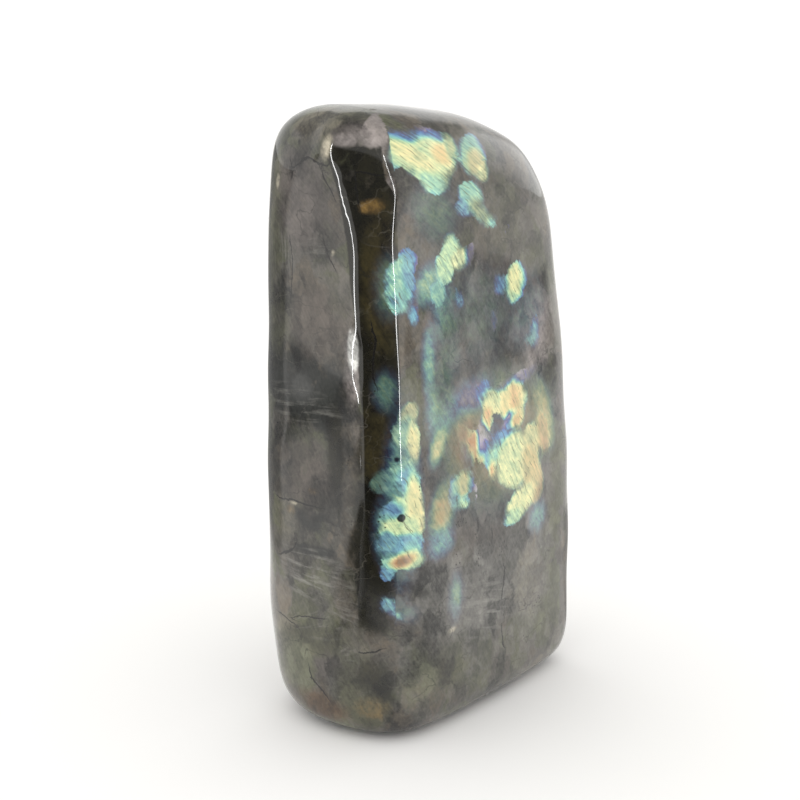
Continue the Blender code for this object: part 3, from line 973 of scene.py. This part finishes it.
def flash_colour(finish, place, looks):
    """The flashes' colour and where they show."""
    across = finish.attribute("twin_across")
    way = finish.attribute("twin_way")
    ragged = finish.noise(finish.stretched(place, (3.0, 3.0, 2.2)), detail=6, roughness=0.7)
    fine = finish.noise(finish.stretched(place, (0.9, 0.9, 0.7)), detail=3, roughness=0.6)
    brushed_place = finish.node("ShaderNodeCombineXYZ", None, {"X": across / 0.9, "Y": way / 6})
    brushed = finish.noise(brushed_place, detail=4, roughness=0.65)
    shimmer_place = finish.node("ShaderNodeCombineXYZ", None, {"X": across / 2.4, "Y": way / 3.5})
    shimmer = finish.noise(shimmer_place, detail=4, roughness=0.6, distortion=0.8)
    depth = finish.attribute("flash_depth") + ragged * 2.4 + fine * 0.8 + brushed * 1.3
    blur = finish.noise(finish.stretched(moved(finish, place, (9, 3, 60)), (6, 6, 5)), detail=2)
    blur = finish.smooth(blur, -0.12, 0.16) * 1.8 + 0.25
    mask = finish.smooth(depth, blur * -0.6, blur)
    rim = finish.smooth(depth, 1.4, 0.0)
    fringe = finish.smooth(finish.noise(finish.stretched(place, (9, 9, 7)), detail=1), -0.02, 0.12)
    hue = finish.attribute("flash_hue") + brushed * 0.22 + ragged * 0.20 + shimmer * 0.22
    hue = hue - rim * fringe * 0.14
    colour = hue_colour(finish, hue)
    waver = finish.noise(finish.stretched(place, (7, 7, 5)), detail=3)
    phase = (across * (MM / looks.twin_spacing) + waver * 2.0 + fine * 0.12).fraction()
    line = finish.smooth(abs(phase - 0.5), 0.12, 0.02)
    patchy = finish.smooth(finish.noise(finish.stretched(place, (3, 3, 2.5)), detail=2), -0.04, 0.14)
    line = line * patchy * 0.75
    dim = (brushed * 0.8 + shimmer * 0.8 + ragged * 0.5 + 0.84).at_least(0.3)
    colour = finish.mix(1.0, colour, dim, "MULTIPLY")
    colour = finish.mix(line, colour, TWIN_LINE_COLOUR)
    shown = mask * (finish.attribute("flash_glow") * (1.02 + brushed * 0.7)).at_most(1.0)
    haze_hue = finish.attribute("haze_hue") + shimmer * 0.5 + ragged * 0.4
    haze = finish.attribute("haze") * (1.1 + brushed * 1.4 + ragged * 1.6 + shimmer * 1.0)
    return colour, shown, hue_colour(finish, haze_hue), haze.at_least(0.0)


def dark_specks(finish, place, ragged):
    """How far each place lies inside one of the dark specks."""
    found = None
    for middle, radius in SPECKS:
        away = {"Vector": place, "Vector_001": middle}
        away = finish.node("ShaderNodeVectorMath", {"operation": "DISTANCE"}, away, "Value")
        share = finish.smooth(away + ragged * 0.8, radius + 0.2, radius - 0.2)
        found = share if found is None else found.at_least(share)
    return found


def polished_labradorite(looks):
    """The stone's material."""
    material = bpy.data.materials.new("polished_labradorite")
    finish = Finish(material)
    coordinates = finish.node("ShaderNodeTexCoord", output="Object")
    scale = {"Vector": coordinates, "Scale": 1 / MM}
    place = finish.node("ShaderNodeVectorMath", {"operation": "SCALE"}, scale)
    colour, grain, mottle = stone_body(finish, place, looks)
    flash, shown, haze_colour, haze = flash_colour(finish, place, looks)
    colour = finish.mix(haze, colour, haze_colour)
    colour = finish.mix(shown, colour, flash)
    colour = finish.mix(dark_specks(finish, place, mottle) * 0.95, colour, SPECK_COLOUR)

    wiggle = finish.noise(finish.stretched(place, (2.5, 2.5, 2.5)), detail=5, roughness=0.7)
    gap = abs(finish.attribute("crack_side") + wiggle * 1.8)
    opening = finish.attribute("crack_opening") * (1 + wiggle * 1.8)
    crack = finish.smooth(gap, opening + 0.08, opening - 0.04) * finish.smooth(opening, 0.0, 0.08)
    colour = finish.mix(crack * 0.9, colour, CRACK_COLOUR)

    cells = {"Vector": finish.stretched(place, (0.75, 0.75, 0.75)), "Scale": 1.0}
    cell = finish.node("ShaderNodeTexVoronoi", None, cells, "Distance")
    chosen = finish.node("ShaderNodeTexVoronoi", None, cells, "Color")
    chosen = finish.node("ShaderNodeSeparateColor", None, {"Color": chosen}, "Red")
    pitted = finish.attribute("pitted")
    hole = finish.smooth(cell + grain * 0.3, 0.42, 0.25) * finish.smooth(chosen + pitted * 0.55, 1.0, 1.1)
    hole = hole * finish.smooth(pitted, 0.1, 0.3)
    colour = finish.mix(hole * 0.85, colour, PIT_COLOUR)

    wear = finish.attribute("ridge_wear")
    knock = finish.noise(finish.stretched(place, (0.8, 0.8, 1.3)), detail=3, roughness=0.6)
    uneven = finish.noise(finish.stretched(place, (7, 7, 12)), detail=2)
    height = crack * -0.6 + hole * -0.6 + knock * wear * 0.35 + uneven * 0.5 + grain * 0.012
    bump = {"Height": height, "Distance": 0.2 * MM, "Strength": 0.6}
    shader = {
        "Base Color": colour,
        "Roughness": 0.5,
        "Specular IOR Level": 0.1,
        "Coat Weight": 1.0,
        "Coat Roughness": looks.polish,
        "Coat IOR": 1.56,
        "Normal": finish.node("ShaderNodeBump", None, bump),
    }
    finish.surface(shader)
    return material


class LABRADORITE_OT_polish(bpy.types.Operator):
    """Gives the stone its colour and polish"""

    bl_idname = "labradorite.polish"
    bl_label = "Polish Stone"

    def execute(self, context):
        stone = bpy.data.objects["polished_stone"]
        stone.data.materials.clear()
        stone.data.materials.append(polished_labradorite(context.scene.stone_looks))
        return {"FINISHED"}


# Dark cards on the floor, which the upright faces mirror: their turns in degrees and their nearest
# and farthest points from the stone's axis in metres. They lie just over the floor, and their two
# sides fade over a few degrees.
Card = namedtuple("Card", "name grey turns reach")

DARK_CARDS = (
    Card("front_card", 0.02, (-182, -108), (0.085, 8)),
    Card("near_card", 0.12, (162, 188), (0.085, 0.21)),
    Card("left_card", 0.27, (58, 126), (0.12, 8)),
    Card("left_band", 0.10, (122, 171), (0.235, 0.43)),
    Card("right_band", 0.25, (-63, -17), (0.36, 0.9)),
    Card("right_card", 0.45, (-21, 25), (0.05, 0.2)),
)
CARD_LIFT = 0.0005
CARD_FADE = math.radians(7)

# Narrow upright lights that only the ridges mirror: their turns in degrees, distances and widths
Strip = namedtuple("Strip", "name turn distance wide")

RIDGE_STRIPS = (
    Strip("left_strip", 163, 0.32, 0.015),
    Strip("right_strip", -112, 0.26, 0.026),
)
STRIP_HEIGHT = 0.32
STRIP_RADIANCE = 20

# The sky's tint, how white the camera sees it, and the turns of the room's back and left side and of
# the bright window on the right, which stands a little above the floor
SKY_TINT = (1.0, 0.998, 0.985)
SEEN_WHITE = 0.985
BACK_TURN = 39
LEFT_TURN = 129
WINDOW_TURN = -10
WINDOW_LIFT = 9

# The point that the camera aims at
CAMERA_AIM = (-0.00345, 0.00423, 0.07994)
SENSOR_WIDTH = 36


def plain_material(name, colour):
    """A matt material of one colour, for the stage."""
    material = bpy.data.materials.new(name)
    finish = Finish(material)
    finish.surface({"Base Color": colour, "Roughness": 0.8, "Specular IOR Level": 0.0})
    return material


def card_material(card):
    """The card's matt grey, which fades softly towards both of its distances and both of its turns."""
    material = bpy.data.materials.new(card.name)
    finish = Finish(material)
    coordinates = finish.node("ShaderNodeTexCoord", output="Object")
    away = finish.node("ShaderNodeVectorMath", {"operation": "LENGTH"}, {"Vector": coordinates}, "Value")
    near, far = card.reach
    cover = finish.smooth(away, near, near * 1.4) * finish.smooth(away, far, far * 0.8)
    first, last = card.turns
    half = math.radians(last - first) / 2
    inputs = {"Vector": coordinates, "Vector_001": polar((first + last) / 2, 1)}
    facing = finish.node("ShaderNodeVectorMath", {"operation": "DOT_PRODUCT"}, inputs, "Value") / away
    cover = cover * finish.smooth(facing, math.cos(half), math.cos(half - CARD_FADE))
    colour = (card.grey, card.grey, card.grey)
    finish.surface({"Base Color": colour, "Roughness": 0.8, "Specular IOR Level": 0.0, "Alpha": cover})
    return material


def polar(turn, distance, height=0.0):
    """A place at a turn from +X in plan, in degrees, and a distance from the stone's axis."""
    angle = math.radians(turn)
    return Vector((math.cos(angle) * distance, math.sin(angle) * distance, height))


def only_in_reflections(obj):
    """Hides a studio card or light from everything but mirror reflections."""
    obj.visible_camera = False
    obj.visible_diffuse = False
    obj.visible_shadow = False
    obj.visible_transmission = False
    obj.visible_volume_scatter = False


class LABRADORITE_OT_stage(bpy.types.Operator):
    """Sets the floor, light and camera"""

    bl_idname = "labradorite.stage"
    bl_label = "Set Stage"

    def execute(self, context):
        stage = context.scene.stage_looks
        bpy.ops.object.select_all(action="DESELECT")
        self.add_floor(stage)
        self.add_dark_cards()
        self.add_ridge_lights()
        self.add_sky()
        self.add_camera(context, stage)
        context.scene.view_settings.view_transform = "Standard"
        return {"FINISHED"}

    @staticmethod
    def add_floor(stage):
        bpy.ops.mesh.primitive_plane_add(size=14)
        floor = bpy.context.object
        floor.name = "floor"
        floor.data.materials.append(plain_material("matt_floor", stage.floor_colour))

    @staticmethod
    def add_dark_cards():
        for dark in DARK_CARDS:
            corners = [polar(turn, way, CARD_LIFT) for way in dark.reach for turn in dark.turns]
            mesh = bpy.data.meshes.new(dark.name)
            mesh.from_pydata(corners, [], [(0, 2, 3, 1)])
            card = bpy.data.objects.new(dark.name, mesh)
            bpy.context.scene.collection.objects.link(card)
            mesh.materials.append(card_material(dark))
            only_in_reflections(card)

    @staticmethod
    def add_ridge_lights():
        for strip in RIDGE_STRIPS:
            place = polar(strip.turn, strip.distance, STRIP_HEIGHT / 2 + MM)
            rotation = Vector((-place.x, -place.y, 0)).to_track_quat("-Z", "Y").to_euler()
            bpy.ops.object.light_add(type="AREA", location=place, rotation=rotation)
            light = bpy.context.object
            light.name = strip.name
            light.data.shape = "RECTANGLE"
            light.data.size = strip.wide
            light.data.size_y = STRIP_HEIGHT
            light.data.energy = STRIP_RADIANCE * strip.wide * STRIP_HEIGHT * math.pi
            only_in_reflections(light)

    @staticmethod
    def toward(finish, direction, turn, lift):
        """How nearly a direction is this one: 1 where it is the same and 0 at right angles."""
        way = polar(turn, math.cos(math.radians(lift)), math.sin(math.radians(lift)))
        inputs = {"Vector": direction, "Vector_001": way}
        return finish.node("ShaderNodeVectorMath", {"operation": "DOT_PRODUCT"}, inputs, "Value")

    def add_sky(self):
        """White light from all round, which the polish sees as a room with a bright window."""
        world = bpy.data.worlds.new("studio")
        bpy.context.scene.world = world
        finish = Finish(world)
        direction = finish.node("ShaderNodeTexCoord", output="Generated")
        height = finish.node("ShaderNodeSeparateXYZ", None, {"Vector": direction}, "Z")
        back = self.toward(finish, direction, BACK_TURN, 0)
        left = self.toward(finish, direction, LEFT_TURN, 0)
        window = self.toward(finish, direction, WINDOW_TURN, WINDOW_LIFT)
        # The polish mirrors a dimmer ceiling, which is brighter to the left, and a dark room in front
        high = finish.smooth(left, 0.1, 0.6) * 0.3 + 0.3
        mirrored = 1 + (high - 1) * finish.smooth(height, 0.44, 0.54)
        front = 0.1 + finish.smooth(height, 0.46, 0.53) * 0.6
        mirrored = mirrored + (front - mirrored) * finish.smooth(back, -0.1, -0.6)
        mirrored = mirrored + finish.smooth(window, 0.90, 0.995) * 1.4
        # Everything else is lit softly, a little more from behind
        soft = 1.20 + back * 0.12
        path = finish.node("ShaderNodeLightPath", output="Is Glossy Ray")
        strength = soft + (mirrored - soft) * path
        seen = finish.node("ShaderNodeLightPath", output="Is Camera Ray")
        strength = strength + (SEEN_WHITE - strength) * seen
        surface = finish.node("ShaderNodeBackground", None, {"Color": SKY_TINT, "Strength": strength})
        finish.node("ShaderNodeOutputWorld", None, {"Surface": surface})

    @staticmethod
    def add_camera(context, stage):
        lift = stage.camera_lift
        turn = stage.camera_turn
        back = Vector((math.sin(turn) * math.cos(lift), -math.cos(turn) * math.cos(lift), math.sin(lift)))
        place = Vector(CAMERA_AIM) + back * stage.camera_distance
        bpy.ops.object.camera_add(location=place, rotation=(math.pi / 2 - lift, 0, turn))
        camera = context.object
        camera.name = "camera"
        camera.data.lens = stage.focal_length
        camera.data.sensor_width = SENSOR_WIDTH
        context.scene.camera = camera


class LABRADORITE_PT_panel(bpy.types.Panel):
    """Lists the steps that dress the stone"""

    bl_label = "Labradorite"
    bl_space_type = "VIEW_3D"
    bl_region_type = "UI"
    bl_category = "Labradorite"

    def draw(self, context):
        layout = self.layout
        for looks in (context.scene.stone_looks, context.scene.stage_looks):
            for name in looks.bl_rna.properties.keys():
                if name not in ("name", "rna_type"):
                    layout.prop(looks, name)
        for operator in OPERATORS:
            layout.operator(operator.bl_idname)


OPERATORS = (
    LABRADORITE_OT_stone,
    LABRADORITE_OT_markings,
    LABRADORITE_OT_polish,
    LABRADORITE_OT_stage,
)
CLASSES = (StoneLooks, StageLooks, *OPERATORS, LABRADORITE_PT_panel)


def register():
    for cls in CLASSES:
        bpy.utils.register_class(cls)
    bpy.types.Scene.stone_looks = PointerProperty(type=StoneLooks)
    bpy.types.Scene.stage_looks = PointerProperty(type=StageLooks)


def unregister():
    del bpy.types.Scene.stage_looks
    del bpy.types.Scene.stone_looks
    for cls in reversed(CLASSES):
        bpy.utils.unregister_class(cls)


def main():
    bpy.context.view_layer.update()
    register()
    bpy.ops.labradorite.stone()
    bpy.ops.labradorite.markings()
    bpy.ops.labradorite.polish()
    bpy.ops.labradorite.stage()


if __name__ == "__main__":
    main()
